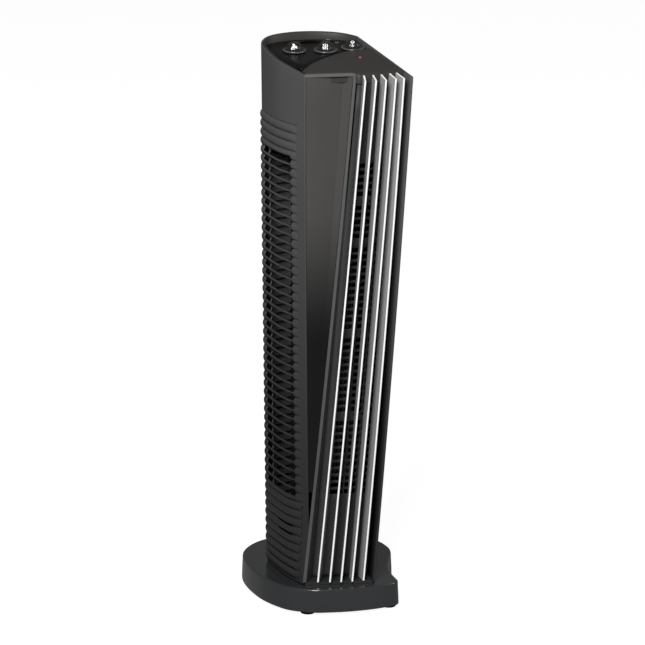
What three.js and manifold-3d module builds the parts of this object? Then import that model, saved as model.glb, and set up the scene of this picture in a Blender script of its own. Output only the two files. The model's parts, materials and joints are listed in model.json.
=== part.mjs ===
// Tower fan: an oval base, a tall ribbed housing with five upright silver blades that twist from foot to top,
// and a sloping control deck with three knobs. Millimetres, +Z up, the outlet faces -Y.
import * as THREE from 'three';
import { mergeVertices } from 'three/addons/utils/BufferGeometryUtils.js';
import Module from 'manifold-3d';

const wasm = await Module();
wasm.setup();

// ---- driving dimensions ----
const GAP = 0.3;                     // clearance between neighbouring pieces
const WALL = 3;                      // moulded wall thickness
const BASE_TOP = 35;                 // height of the base's upper face
const BASE_UNDERSIDE = 1.6;          // height of the base's lower rim
const FOOT_HEIGHT = 4.8;             // how far the feet hold that rim off the floor
const LIFT = FOOT_HEIGHT - BASE_UNDERSIDE;   // raises the plan's zero height so that the floor is at zero
const BODY_FOOT = BASE_TOP + GAP;    // where the housing starts
const BLADE_FOOT = 39.6;             // where the blades stand on the chassis floor
const BLADE_HEAD = 760;              // height at which the blade curves are given their upper values
const TOP_AT_ORIGIN = 786;           // height of the sloping top above the plan origin
const TOP_SLOPE = Math.tan(8.4 * Math.PI / 180);
const DECK_AT_ORIGIN = 777.5;        // height of the control deck above the plan origin
const DECK_SLOPE = Math.tan(3.5 * Math.PI / 180);
const CAP_DEPTH = 14;                // depth of the top cap
const RIM = 2;                       // width of the raised rim round the deck
const BLADE_DEPTH = 24;
const BLADE_THICKNESS = 2.4;
const RIB_PITCH = 12.52;             // spacing of the intake slots
const SLOT_HEIGHT = 9.6;
const SLOT_LOW = 159.8;              // height of the lowest full slot
const SLOT_COUNT = 39;
const THIN_SLOTS = [100.7, 113.2];   // heights of the two narrow slots under the vent
const THIN_SLOT_HEIGHT = 2.6;
const FLOOR_THICKNESS = 4;
const WHEEL_AXIS = [-14, -38];
const WHEEL_RADIUS = 36;
const WHEEL_LOW = 118;
const WHEEL_HIGH = 690;
const KNOB_RADIUS = 16.4;
const KNOB_PLACES = [[-43.5, -33], [-1, -42], [39.8, -38.4]];
const GLAND = [-14, 27, 64];         // cord gland in the rear wall
const LED = [34, -88];               // power light in the brow
const PLAN_CENTRE = [-0.9, -38.45];  // middle of the plan, moved to the frame's origin

// ---- numbers and points ----
const mix = (a, b, t) => a + (b - a) * t;
const mixPoint = (p, q, t) => [mix(p[0], q[0], t), mix(p[1], q[1], t)];
const rise = (z) => (z - 38) / (BLADE_HEAD - 38);
const bow = (low, high, bulge, t) => mix(low, high, t) + bulge * t * (1 - t);
const topAt = (y) => TOP_AT_ORIGIN + TOP_SLOPE * y;
const deckAt = (y) => DECK_AT_ORIGIN + DECK_SLOPE * y;
const degrees = (a) => a * Math.PI / 180;

// ---- closed solids ----
function geometryOf(position, index) {
  const g = new THREE.BufferGeometry();
  g.setAttribute('position', new THREE.Float32BufferAttribute(position, 3));
  g.setIndex(index);
  return g;
}

// Skin over a stack of closed loops of [x, y, z], each anticlockwise from above, lowest first.
function loft(loops) {
  const n = loops[0].length;
  const index = [];
  for (let s = 0; s + 1 < loops.length; s++) {
    for (let i = 0; i < n; i++) {
      const a = s * n + i;
      const b = s * n + (i + 1) % n;
      index.push(a, b, b + n, a, b + n, a + n);
    }
  }
  const last = (loops.length - 1) * n;
  const flat = (loop) => loop.map((p) => new THREE.Vector2(p[0], p[1]));
  THREE.ShapeUtils.triangulateShape(flat(loops[0]), []).forEach(([a, b, c]) => index.push(c, b, a));
  THREE.ShapeUtils.triangulateShape(flat(loops[loops.length - 1]), [])
    .forEach(([a, b, c]) => index.push(last + a, last + b, last + c));
  return geometryOf(loops.flat(2), index);
}

const atHeight = (loop, z) => loop.map(([x, y]) => [x, y, typeof z === 'function' ? z(y) : z]);
const prism = (loop, low, high) => loft([atHeight(loop, low), atHeight(loop, high)]);

function toManifold(geometry) {
  const plain = geometry.clone();
  plain.deleteAttribute('normal');
  plain.deleteAttribute('uv');
  const g = mergeVertices(plain, 1e-4);
  return new wasm.Manifold(new wasm.Mesh({
    numProp: 3,
    vertProperties: new Float32Array(g.attributes.position.array),
    triVerts: new Uint32Array(g.index.array),
  }));
}

function toGeometry(solid) {
  const m = solid.getMesh();
  const g = geometryOf(Array.from(m.vertProperties), Array.from(m.triVerts));
  g.computeVertexNormals();
  return g;
}

const cut = (solid, ...tools) => tools.reduce((s, t) => s.subtract(toManifold(t)), solid);
const join = (solid, ...others) => others.reduce((s, t) => s.add(toManifold(t)), solid);

const box = (x0, x1, y0, y1, z0, z1) => prism([[x0, y0], [x1, y0], [x1, y1], [x0, y1]], z0, z1);

function disc(x, y, radius, low, high, sides = 20) {
  const loop = [];
  for (let i = 0; i < sides; i++) {
    const a = 2 * Math.PI * i / sides;
    loop.push([x + radius * Math.cos(a), y + radius * Math.sin(a)]);
  }
  return prism(loop, low, high);
}

// Moves every side of an anticlockwise loop inwards by d.
function inset(loop, d) {
  return loop.map((p, i) => {
    const before = loop[(i + loop.length - 1) % loop.length];
    const after = loop[(i + 1) % loop.length];
    const u = new THREE.Vector2(p[0] - before[0], p[1] - before[1]).normalize();
    const v = new THREE.Vector2(after[0] - p[0], after[1] - p[1]).normalize();
    const k = d / (1 + u.dot(v));
    return [p[0] - k * (u.y + v.y), p[1] + k * (u.x + v.x)];
  });
}

// Everything above the sloping top less a depth, as one large block.
function aboveTop(depth) {
  const wide = [[-400, -400], [400, -400], [400, 400], [-400, 400]];
  return loft([atHeight(wide, (y) => topAt(y) - depth), atHeight(wide, 1200)]);
}

// ---- the body's plan ----
const STRIP_WIDTH = 4.1;
const stripX = (z) => bow(-61.2, 9.2, 8.5, rise(z));
// The left wall ends at its own corner line, or beside the slanting strip where that is further left.
const frontLeft = (z) => [
  Math.min(bow(-55.5, -63, -7, rise(z)), stripX(z) - STRIP_WIDTH - 0.1),
  mix(-135, -140, rise(z)),
];
const frontRight = (z) => [bow(35.1, 82.5, 8.3, rise(z)), mix(-154, -173, rise(z))];
const backRight = [58, -6];
const REAR = [[46, 7], [28, 18], [0, 26], [-28, 28], [-52, 23.5], [-66, 16], [-76, 4]];
const LEFT = [[-81, -10], [-82, -36], [-81, -60], [-79, -80], [-73.5, -104]];

// The left side leans out a little towards the top: each point moves by its share of the lean.
const REAR_SHARE = [0, 0, 0, 0.2, 0.5, 0.8, 1];
const LEFT_SHARE = [1, 1, 1, 0.8, 0.4];
const leanAt = (z) => mix(4.5, -2.8, rise(z));
const leaning = (points, share, z) => points.map(([x, y], i) => [x + share[i] * leanAt(z), y]);

// Anticlockwise outline of the body at a height, starting at the front left corner.
function bodyOutline(z) {
  const right = [0, 0.12, 0.34, 0.66, 1].map((t) => mixPoint(frontRight(z), backRight, t));
  return [frontLeft(z), ...right, ...leaning(REAR, REAR_SHARE, z), ...leaning(LEFT, LEFT_SHARE, z)];
}

// Plan position of the right wall's inner face at a height and a depth.
function innerRight(z, y) {
  const [x, front] = frontRight(z);
  const t = (y - front) / (backRight[1] - front);
  return mix(x, backRight[0], t) - WALL - 2 * GAP;
}

// ---- group and materials ----
const group = new THREE.Group();
group.name = 'tower_fan';
const assembly = new THREE.Group();
assembly.name = 'fan_parts';
assembly.position.set(-PLAN_CENTRE[0], -PLAN_CENTRE[1], LIFT);
group.add(assembly);

const COATS = {
  satin_black: [0x2e2e30, 0.5, 0],
  deck_black: [0x131314, 0.4, 0],
  gloss_black: [0x0c0c0d, 0.12, 0],
  frame_grey: [0x48484a, 0.45, 0],
  brow_black: [0x2a2727, 0.45, 0],
  silver_blade: [0xb4b6b8, 0.32, 0.85],
  base_black: [0x26272a, 0.28, 0],
  smoke_knob: [0x343638, 0.25, 0],
  rubber_black: [0x141414, 0.9, 0],
  iron_grey: [0x55565a, 0.7, 0.9],
  steel: [0xa8aaae, 0.35, 1],
  inner_black: [0x1c1c1d, 0.7, 0],
  wheel_grey: [0x3b3c3e, 0.6, 0],
  red_lens: [0xc81a1a, 0.2, 0],
  board_green: [0x1f4a2c, 0.6, 0],
  heater_alu: [0xb9bbbd, 0.45, 1],
};

function place(name, geometry, coat, parent = assembly) {
  const [color, roughness, metalness] = COATS[coat];
  const material = new THREE.MeshStandardMaterial({ color, roughness, metalness });
  material.name = coat;
  const mesh = new THREE.Mesh(geometry, material);
  mesh.name = name;
  parent.add(mesh);
  return mesh;
}

// ---- base ----
const BASE_OUTLINE = [
  [-58, -159], [-36, -165.5], [-6, -170], [29, -169.5], [55, -164.5], [64.5, -160.5], [69.5, -153],
  [70.5, -142], [72, -113], [77, -88], [86, -62], [96, -38], [104, -20], [107.5, 2], [104.5, 30],
  [93, 56], [74, 79], [50, 94], [22, 103], [-6, 104], [-34, 99], [-60, 87], [-81, 68], [-96.5, 44],
  [-105, 16], [-108.8, -14], [-109.3, -46], [-106, -82], [-97, -114], [-84, -139],
];
const PLATE_SCREWS = [[-78, -112], [44, -124], [72, 44], [-76, 44]];
const BODY_SCREWS = [[-46, -96], [26, -96], [38, -18], [-62, -18]];

function baseShell() {
  const skirt = inset(BASE_OUTLINE, -1.2);
  const shoulder = inset(BASE_OUTLINE, 1.4);
  const outer = loft([atHeight(skirt, BASE_UNDERSIDE), atHeight(BASE_OUTLINE, BASE_TOP - 1.4),
    atHeight(shoulder, BASE_TOP)]);
  const hollow = prism(inset(BASE_OUTLINE, WALL), BASE_UNDERSIDE - 2, BASE_TOP - WALL);
  let shell = cut(toManifold(outer), hollow);
  for (const [x, y] of PLATE_SCREWS) {
    shell = join(shell, disc(x, y, 5, BASE_UNDERSIDE + 3.7, BASE_TOP - 1, 12));
    shell = cut(shell, disc(x, y, 2.3, BASE_UNDERSIDE + 2, 26, 10));
  }
  for (const [x, y] of BODY_SCREWS) {
    shell = cut(shell, disc(x, y, 2.3, 20, BASE_TOP + 5, 10));
  }
  return toGeometry(shell);
}

function basePlate() {
  const low = BASE_UNDERSIDE + 0.2;
  const plate = toManifold(prism(inset(BASE_OUTLINE, WALL + GAP), low, low + 3));
  return toGeometry(cut(plate, ...PLATE_SCREWS.map(([x, y]) => disc(x, y, 2.3, low - 2, low + 6, 10))));
}

place('base_shell', baseShell(), 'base_black');
place('base_plate', basePlate(), 'inner_black');
const shrunk = (loop, k) => loop.map(([x, y]) => mixPoint([-6, -30], [x, y], k));
place('base_ballast', prism(shrunk(BASE_OUTLINE, 0.55), BASE_UNDERSIDE + 3.5, 20), 'iron_grey');

const FEET = [[-60, -143], [57.5, -148.5], [86, 8], [-92, 8], [-4, 84]];
FEET.forEach(([x, y], i) => {
  const foot = new THREE.LatheGeometry(
    [[0, 0], [9, 0], [10.5, 1.4], [10.5, FOOT_HEIGHT - 0.1], [0, FOOT_HEIGHT - 0.1]]
      .map(([r, z]) => new THREE.Vector2(r, z)), 20);
  foot.rotateX(Math.PI / 2);
  foot.translate(x, y, -LIFT);
  place(`foot_${i + 1}`, foot, 'rubber_black');
});

// A pan-head screw pointing up: the head is below, the shank above.
function screw(low, shankTop, headRadius, shankRadius) {
  const profile = [[0, 0], [headRadius - 0.8, 0], [headRadius, 0.8], [headRadius, 2.2], [shankRadius, 2.2],
    [shankRadius, shankTop - low], [0, shankTop - low]];
  const g = new THREE.LatheGeometry(profile.map(([r, z]) => new THREE.Vector2(r, z)), 10);
  g.rotateX(Math.PI / 2);
  return g;
}

PLATE_SCREWS.forEach(([x, y], i) => {
  const low = BASE_UNDERSIDE - 2.3;
  const g = screw(low, 22, 4, 2);
  g.translate(x, y, low);
  place(`plate_screw_${i + 1}`, g, 'steel');
});
BODY_SCREWS.forEach(([x, y], i) => {
  const g = screw(29.5, 41, 4, 2);
  g.translate(x, y, 29.5);
  place(`body_screw_${i + 1}`, g, 'steel');
});

// ---- housing: one U-shaped wall from the front left corner round the back to the front right edge ----
const HOUSING_LEVELS = [BODY_FOOT, 114, 170, 225, 320, 415, 510, 605, 700, 830];

// The hollow's outline: the body's outline moved in, carried straight forward between the two front corners.
const FORWARD = 60;
function cavityLoop(z, thickness) {
  const outer = bodyOutline(z);
  const left = [outer[0][0] + thickness, outer[0][1]];
  const right = [outer[1][0] - thickness, outer[1][1]];
  const ahead = ([x, y]) => [x, y - FORWARD];
  return [left, ahead(left), ahead(right), right, ...inset(outer, thickness).slice(2)];
}

// Front end of a slot at a height: the vent's front edge slants forward towards the foot.
const ventFront = (z) => mix(-114.4, -108, (z - 165) / 475);

function housing() {
  const outer = loft(HOUSING_LEVELS.map((z) => atHeight(bodyOutline(z), z)));
  const levels = [BODY_FOOT - 5, ...HOUSING_LEVELS.slice(1, -1), 840];
  const hollow = loft(levels.map((z) => atHeight(cavityLoop(z, WALL), z)));
  let shell = cut(toManifold(outer), hollow, aboveTop(0));
  for (let k = 0; k < SLOT_COUNT; k++) {
    const z = SLOT_LOW + k * RIB_PITCH;
    shell = cut(shell,
      box(-95, -60, ventFront(z), -42, z, z + SLOT_HEIGHT),
      box(-95, -60, -38.5, -16, z, z + SLOT_HEIGHT));
  }
  for (const z of THIN_SLOTS) {
    shell = cut(shell, box(-95, -60, -100, -62, z, z + THIN_SLOT_HEIGHT));
  }
  const glandHole = disc(0, 0, 6, -30, 30, 14);
  glandHole.rotateX(Math.PI / 2);
  glandHole.translate(GLAND[0], GLAND[1], GLAND[2]);
  return toGeometry(cut(shell, glandHole));
}

place('housing', housing(), 'satin_black');

function cordGland() {
  const profile = [[3.2, 0], [5.6, 0], [5.6, 6.6], [8.5, 6.6], [8.5, 8.4], [6, 13], [3.2, 13], [3.2, 0]];
  const g = new THREE.LatheGeometry(profile.map(([r, z]) => new THREE.Vector2(r, z)), 16);
  g.translate(0, -5, 0);
  g.translate(GLAND[0], GLAND[1], GLAND[2]);
  return g;
}
place('cord_gland', cordGland(), 'rubber_black');

// ---- chassis floor and bulkheads ----
function chassisFloor() {
  const outer = inset(bodyOutline(BODY_FOOT), WALL + 3 * GAP);
  const a = frontLeft(BODY_FOOT);
  const b = frontRight(BODY_FOOT);
  outer[0] = [a[0] + WALL + 1.8, a[1] - 1];
  outer[1] = [b[0] - WALL - GAP - 0.5, b[1] - 0.5];
  const low = toManifold(prism(outer, BODY_FOOT, BODY_FOOT + FLOOR_THICKNESS - 0.3));
  return toGeometry(cut(low, ...BODY_SCREWS.map(([x, y]) => disc(x, y, 2.3, 20, 60, 10))));
}
place('chassis_floor', chassisFloor(), 'satin_black');

function bulkhead(z, thickness, hole, front) {
  const loop = inset(bodyOutline(z), WALL + GAP + 0.4);
  const rear = loop.slice(5);
  const frontEdge = [[-62, front], [innerRight(z, front) - 0.6, front]];
  const plate = toManifold(prism([...frontEdge, ...rear], z, z + thickness));
  return toGeometry(cut(plate, disc(WHEEL_AXIS[0], WHEEL_AXIS[1], hole, z - 5, z + thickness + 5, 24)));
}
place('lower_bulkhead', bulkhead(106, 3, 12, -96), 'inner_black');
place('upper_bulkhead', bulkhead(702, 3, 10, -96), 'inner_black');

// ---- front frame: the strip under the cap and the slanting strip beside the blades ----
const stripEdge = (z) => [stripX(z), mix(-137.5, -147, rise(z))];
const panelLeft = (z) => mixPoint([-44, -114], [10.5, -151.6], rise(z));
const panelRight = (z) => {
  const [x, y] = mixPoint([36.5, -128], [76.5, -149.4], rise(z));
  return [x + 8.3 * rise(z) * (1 - rise(z)) - WALL - GAP - 0.8, y];
};
const FRAME_LEVELS = [BLADE_FOOT, 114, 200, 300, 440, 600];

// Section of the strip: a front face, a side turned back to the outlet panel and a short return.
function stripLoop(z) {
  const [x, y] = stripEdge(z);
  const [px, py] = panelLeft(z);
  return [[x - STRIP_WIDTH, y], [x, y], [Math.max(px - 0.4, x), Math.max(py, y + 4)],
    [Math.max(px - 3.2, x - 3), Math.max(py + 2, y + 6)],
    [Math.max(frontLeft(z)[0] + WALL + 0.6, x - 4), y + 1.6], [x - STRIP_WIDTH, y + 1.5]];
}

function fasciaFrame() {
  const top = FRAME_LEVELS.map((z) => atHeight(stripLoop(z), z));
  top.push(atHeight(stripLoop(BLADE_HEAD), (y) => topAt(y) - 0.2));
  const a = frontLeft(BLADE_HEAD);
  const s = stripEdge(BLADE_HEAD);
  const bar = [
    [a[0] + 3.6, a[1] + 0.4], [s[0] - 0.5, s[1]], [s[0] - 0.5, s[1] + 3.5], [a[0] + 3.6, a[1] + 3.9],
  ];
  const lintel = loft([atHeight(bar, (y) => topAt(y) - 4), atHeight(bar, (y) => topAt(y) - 0.2)]);
  return toGeometry(join(toManifold(loft(top)), lintel));
}
place('fascia_frame', fasciaFrame(), 'frame_grey');

// ---- fascia: a tall gloss panel, narrow at the foot, with a bevel towards the strip ----
const FASCIA_FOOT = 170;
const fasciaHead = (y) => topAt(y) - 4.4;

function fasciaLoop(z) {
  const a = frontLeft(z);
  const s = stripEdge(z);
  const t = (z - FASCIA_FOOT) / (BLADE_HEAD - FASCIA_FOOT);
  const left = [a[0] + WALL + 0.6, a[1] + 1.2];
  const right = [s[0] - STRIP_WIDTH - 2 * GAP, s[1] + 0.8];
  const bevel = mix(0.6, 11, t);
  const recess = mix(0.2, 8, t);
  const deep = [right[0] - bevel, mix(left[1], right[1], 0.8) + recess];
  return [left, deep, right, [right[0], right[1] + 2.4], [deep[0], deep[1] + 2.4], [left[0], left[1] + 2.4]];
}

function fascia() {
  const loops = [FASCIA_FOOT, 210, 280, 400, 540, 660].map((z) => atHeight(fasciaLoop(z), z));
  loops.push(atHeight(fasciaLoop(BLADE_HEAD), fasciaHead));
  return loft(loops);
}
place('fascia_panel', fascia(), 'gloss_black');

// ---- outlet panel: a slatted wall behind the blades ----
const WINDOW_LOW = 160;
const WINDOW_HIGH = 642;
const SLAT_PITCH = 10;
const PANEL_TOP = 748.5;
const CROSSBARS = [276, 396, 520, 582];
const BLADES = [
  { low: [-45.1, -142], high: [10.9, -181], bulge: 5, lean: [29, 13] },
  { low: [-29.1, -147.3], high: [26.3, -181.7], bulge: 3.9, lean: [23.5, 7.5] },
  { low: [-13.7, -151.2], high: [40.7, -182.1], bulge: 6.6, lean: [18, 1] },
  { low: [2.1, -153.4], high: [55.5, -180.4], bulge: 8.3, lean: [9.5, -4] },
  { low: [18.9, -153.5], high: [67.6, -179.4], bulge: 9.5, lean: [1, -9] },
];

// Front edge, back edge and sideways direction of a blade at a height.
function bladeAt(blade, z) {
  const t = rise(z);
  const [x, y] = mixPoint(blade.low, blade.high, t);
  const lean = degrees(mix(blade.lean[0], blade.lean[1], t));
  const front = [x + blade.bulge * t * (1 - t), y];
  const along = [Math.sin(lean), Math.cos(lean)];
  const back = [front[0] + BLADE_DEPTH * along[0], front[1] + BLADE_DEPTH * along[1]];
  return { front, back, along, side: [along[1], -along[0]] };
}

function slab(from, to, half, side) {
  const at = (p, k) => [p[0] + side[0] * half * k, p[1] + side[1] * half * k];
  return [at(from, -1), at(from, 1), at(to, 1), at(to, -1)];
}

function outletPanel() {
  const levels = [BODY_FOOT + FLOOR_THICKNESS, 160, 300, 440, 600, PANEL_TOP];
  const loops = levels.map((z) => {
    const a = panelLeft(z);
    const b = panelRight(z);
    return atHeight([a, b, [b[0], b[1] + WALL], [a[0], a[1] + WALL]], z);
  });
  let panel = toManifold(loft(loops));
  const count = Math.round((WINDOW_HIGH - WINDOW_LOW) / SLAT_PITCH);
  for (let k = 0; k < count; k++) {
    const z = WINDOW_LOW + k * SLAT_PITCH;
    const t = (z - WINDOW_LOW) / (WINDOW_HIGH - WINDOW_LOW);
    const left = Math.max(mix(-21.5, 10, t), panelLeft(z)[0] + 5);
    const right = mix(31.5, 62, t);
    if (CROSSBARS.every((c) => Math.abs(c - z - SLAT_PITCH * 0.35) > SLAT_PITCH * 0.6)) {
      panel = cut(panel, box(left, right, -175, -95, z, z + SLAT_PITCH * 0.66));
    }
  }
  for (const z of CROSSBARS) {
    for (const blade of BLADES) {
      const { back, along, side } = bladeAt(blade, z);
      const start = [back[0] + along[0] * 0.5, back[1] + along[1] * 0.5];
      const a = panelLeft(z);
      const b = panelRight(z);
      const slope = (b[1] - a[1]) / (b[0] - a[0]);
      const reach = (a[1] + slope * (start[0] - a[0]) - start[1]) / (along[1] - slope * along[0]) + 1;
      const end = [start[0] + along[0] * reach, start[1] + along[1] * reach];
      panel = join(panel, prism(slab(start, end, 1.8, side), z - 2, z + 2));
    }
  }
  return toGeometry(panel);
}
place('outlet_panel', outletPanel(), 'inner_black');

// ---- blades ----
function bladeSolid(blade) {
  const levels = [BLADE_FOOT, 160, 280, 400, 520, 640];
  const section = (z) => {
    const { front, back, side } = bladeAt(blade, z);
    return slab(front, back, BLADE_THICKNESS / 2, side);
  };
  const loops = levels.map((z) => atHeight(section(z), z));
  loops.push(atHeight(section(BLADE_HEAD), (y) => topAt(y) + 0.4));
  return loft(loops);
}
BLADES.forEach((blade, i) => place(`blade_${i + 1}`, bladeSolid(blade), 'silver_blade'));

// ---- top cap: a rim and a forward-sloping brow round a pocket for the deck ----
const CAP_FRONT = [[-59, -134.6], [3.8, -141.8], [4.3, -140.2], [10.8, -140.2], [11.2, -150.8], [40, -151.6]];
const CAP_CORNER_Y = -149.2;
const RIDGE = [[-61.5, -124], [-40, -99], [-14, -80], [11, -66], [29, -58.5], [45, -56], [59.2, -55]];

// The cap's outline, clear of the housing wall as it stands at height z.
function capOutline(z) {
  const rear = inset(bodyOutline(z), WALL + 3 * GAP).slice(5);
  const corner = [innerRight(z, CAP_CORNER_Y) - 0.5, CAP_CORNER_Y];
  return [...CAP_FRONT, corner, ...rear];
}

function pocketOutline(extra) {
  const rear = inset(bodyOutline(780), WALL + GAP + RIM + extra).slice(5);
  const left = rear.pop();
  const ridge = RIDGE.map(([x, y]) => [x, y + extra]);
  ridge[0] = [ridge[0][0] + extra, ridge[0][1] + extra];
  ridge[6] = [ridge[6][0] - extra, ridge[6][1]];
  return [...ridge, ...rear, [left[0], left[1]]];
}

function topCap() {
  const underside = atHeight(capOutline(750), (y) => topAt(y) - CAP_DEPTH);
  const block = loft([underside, atHeight(capOutline(764), topAt)]);
  const pocket = prism(pocketOutline(0), 700, 830);
  let cap = cut(toManifold(block), pocket);
  const under = [
    [-50, -128], [0, -136], [30, -146], [62, -144], [56, -62], [30, -65], [12, -72], [-14, -88], [-38, -106],
  ];
  cap = cut(cap, loft([atHeight(under, 700), atHeight(under, (y) => topAt(y) - 3)]));
  const overFascia = [[-70, -160], [10.9, -160], [10.9, -130], [-70, -126]];
  cap = cut(cap, loft([atHeight(overFascia, 700), atHeight(overFascia, (y) => topAt(y) - 4.1)]));
  return toGeometry(cut(cap, disc(LED[0], LED[1], 2.6, 700, 830, 12)));
}

place('top_cap', topCap(), 'brow_black');

const lens = new THREE.LatheGeometry(
  [[0, 0], [2.3, 0], [2.3, 4.6], [1.4, 5.6], [0, 6]].map(([r, z]) => new THREE.Vector2(r, z)), 12);
lens.rotateX(Math.PI / 2);
lens.translate(LED[0], LED[1], topAt(LED[1]) - 5);
place('led_lens', lens, 'red_lens');
place('led_board', box(LED[0] - 14, LED[0] + 14, LED[1] - 9, LED[1] + 9, 760, 761.6), 'board_green');

// ---- control deck, grip cup and knobs ----
const GRIP = [
  [-30, 3], [-20, -1.5], [-6, -3], [8, -2], [18, 1], [25, 5.5], [16, 11.5], [2, 15.5], [-14, 15.8], [-28, 11],
];

function tiltToDeck(geometry, x, y, lift) {
  geometry.rotateX(Math.atan(DECK_SLOPE));
  geometry.translate(x, y, deckAt(y) + lift);
  return geometry;
}

function controlDeck() {
  const loop = pocketOutline(GAP);
  let deck = toManifold(loft([atHeight(loop, (y) => deckAt(y) - WALL), atHeight(loop, deckAt)]));
  deck = cut(deck, prism(GRIP, 700, 830));
  return toGeometry(cut(deck, ...KNOB_PLACES.map(([x, y]) => disc(x, y, 3.8, 700, 830, 14))));
}
place('control_deck', controlDeck(), 'deck_black');

function gripCup() {
  const outer = inset(GRIP, -2.6);
  const under = (y) => deckAt(y) - WALL - GAP;
  const cup = toManifold(loft([atHeight(outer, 748), atHeight(outer, under)]));
  return toGeometry(cut(cup, prism(inset(GRIP, 0), 750, 830)));
}
place('grip_cup', gripCup(), 'deck_black');

const KNOB_PROFILE = [
  [0, 8], [3.3, 8], [3.3, 0], [KNOB_RADIUS - 0.4, 0], [KNOB_RADIUS, 0.5], [KNOB_RADIUS - 0.2, 1.6],
  [13.4, 3.2], [11, 5.2], [9.2, 8], [7.2, 10.2], [4.4, 11.5], [0, 12],
];

KNOB_PLACES.forEach(([x, y], i) => {
  const knob = new THREE.LatheGeometry(KNOB_PROFILE.map(([r, z]) => new THREE.Vector2(r, z)), 24);
  knob.rotateX(Math.PI / 2);
  place(`knob_${i + 1}`, tiltToDeck(knob, x, y, 1), 'smoke_knob');
  const shaft = disc(0, 0, 3, -16, 7.7, 12);
  place(`knob_shaft_${i + 1}`, tiltToDeck(shaft, x, y, 0), 'steel');
  const body = cut(toManifold(box(-11, 11, -11, 11, -24, -5.5)), disc(0, 0, 3.3, -17, 0, 12));
  place(`switch_body_${i + 1}`, tiltToDeck(toGeometry(body), x, y, 0), 'inner_black');
});

// ---- blower: cross-flow wheel, motor, bearings and air guides ----
function blowerWheel() {
  const [x, y] = WHEEL_AXIS;
  const plates = [WHEEL_LOW, 402, WHEEL_HIGH - 3];
  let wheel = toManifold(disc(x, y, WHEEL_RADIUS, plates[0], plates[0] + 3, 32));
  wheel = join(wheel, ...plates.slice(1).map((z) => disc(x, y, WHEEL_RADIUS, z, z + 3, 32)));
  const vanes = 16;
  for (let i = 0; i < vanes; i++) {
    const vane = prism([[27, -0.8], [34.6, 2.4], [34.2, 4], [26.8, 0.8]], WHEEL_LOW + 1, WHEEL_HIGH - 1);
    vane.rotateZ(2 * Math.PI * i / vanes);
    vane.translate(x, y, 0);
    wheel = join(wheel, vane);
  }
  return toGeometry(cut(wheel, disc(x, y, 4.3, 100, 130, 12), disc(x, y, 4.3, 680, 700, 12)));
}
place('blower_wheel', blowerWheel(), 'wheel_grey');
place('motor_shaft', disc(...WHEEL_AXIS, 4, 62, 120.6, 12), 'steel');
place('idler_shaft', disc(...WHEEL_AXIS, 4, 687.4, 708, 12), 'steel');

function ring(outer, inner, low, high, sides) {
  const solid = toManifold(disc(...WHEEL_AXIS, outer, low, high, sides));
  return toGeometry(cut(solid, disc(...WHEEL_AXIS, inner, low - 5, high + 5, sides)));
}
place('top_bearing', ring(9.7, 4.3, 699, 706, 20), 'steel');

function motorCan() {
  const can = toManifold(disc(...WHEEL_AXIS, 31, 44, 96, 28));
  const nose = disc(...WHEEL_AXIS, 10, 95, 101, 20);
  return toGeometry(cut(join(can, nose), disc(...WHEEL_AXIS, 4.3, 61.5, 120, 12)));
}
place('motor_can', motorCan(), 'iron_grey');
const [MX, MY] = WHEEL_AXIS;
const BRACKET_FOOT = BODY_FOOT + FLOOR_THICKNESS + 0.2;
place('motor_bracket', box(MX - 38, MX + 38, MY - 26, MY + 26, BRACKET_FOOT, 43.7), 'steel');

function guide(points, thickness) {
  const outer = points.map(([x, y], i) => {
    const a = points[Math.max(i - 1, 0)];
    const b = points[Math.min(i + 1, points.length - 1)];
    const d = Math.hypot(b[0] - a[0], b[1] - a[1]);
    return [x + (b[1] - a[1]) * thickness / d, y - (b[0] - a[0]) * thickness / d];
  });
  return prism([...points.slice().reverse(), ...outer], 109.5, 701.5);
}
const SCROLL = [[36, -112], [35, -88], [33, -64], [31.5, -38], [26, -14], [14, 4]];
place('scroll_guide', guide(SCROLL, 2), 'inner_black');
place('outlet_tongue', guide([[-58, -70], [-54, -84], [-46, -98], [-38, -108]], 2), 'inner_black');

// ---- heater block in the outlet duct ----
function heaterFrame() {
  const frame = toManifold(box(-34, 26, -104, -88, 170, 560));
  return toGeometry(cut(frame, box(-28, 20, -120, -70, 176, 360), box(-28, 20, -120, -70, 370, 554)));
}
place('heater_frame', heaterFrame(), 'inner_black');

function heaterCore(low, high) {
  let core = toManifold(box(-27.6, 19.6, -100, -92, low, high));
  for (let k = 0; k < 7; k++) {
    const x = -24 + k * 6.4;
    core = cut(core, box(x, x + 2.4, -120, -70, low + 5, high - 5));
  }
  return toGeometry(core);
}
place('heater_core_low', heaterCore(176.4, 359.6), 'heater_alu');
place('heater_core_high', heaterCore(370.4, 553.6), 'heater_alu');
place('thermal_cutout', box(-10, 4, -101, -91, 560.4, 572), 'inner_black');

export default group;
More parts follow.
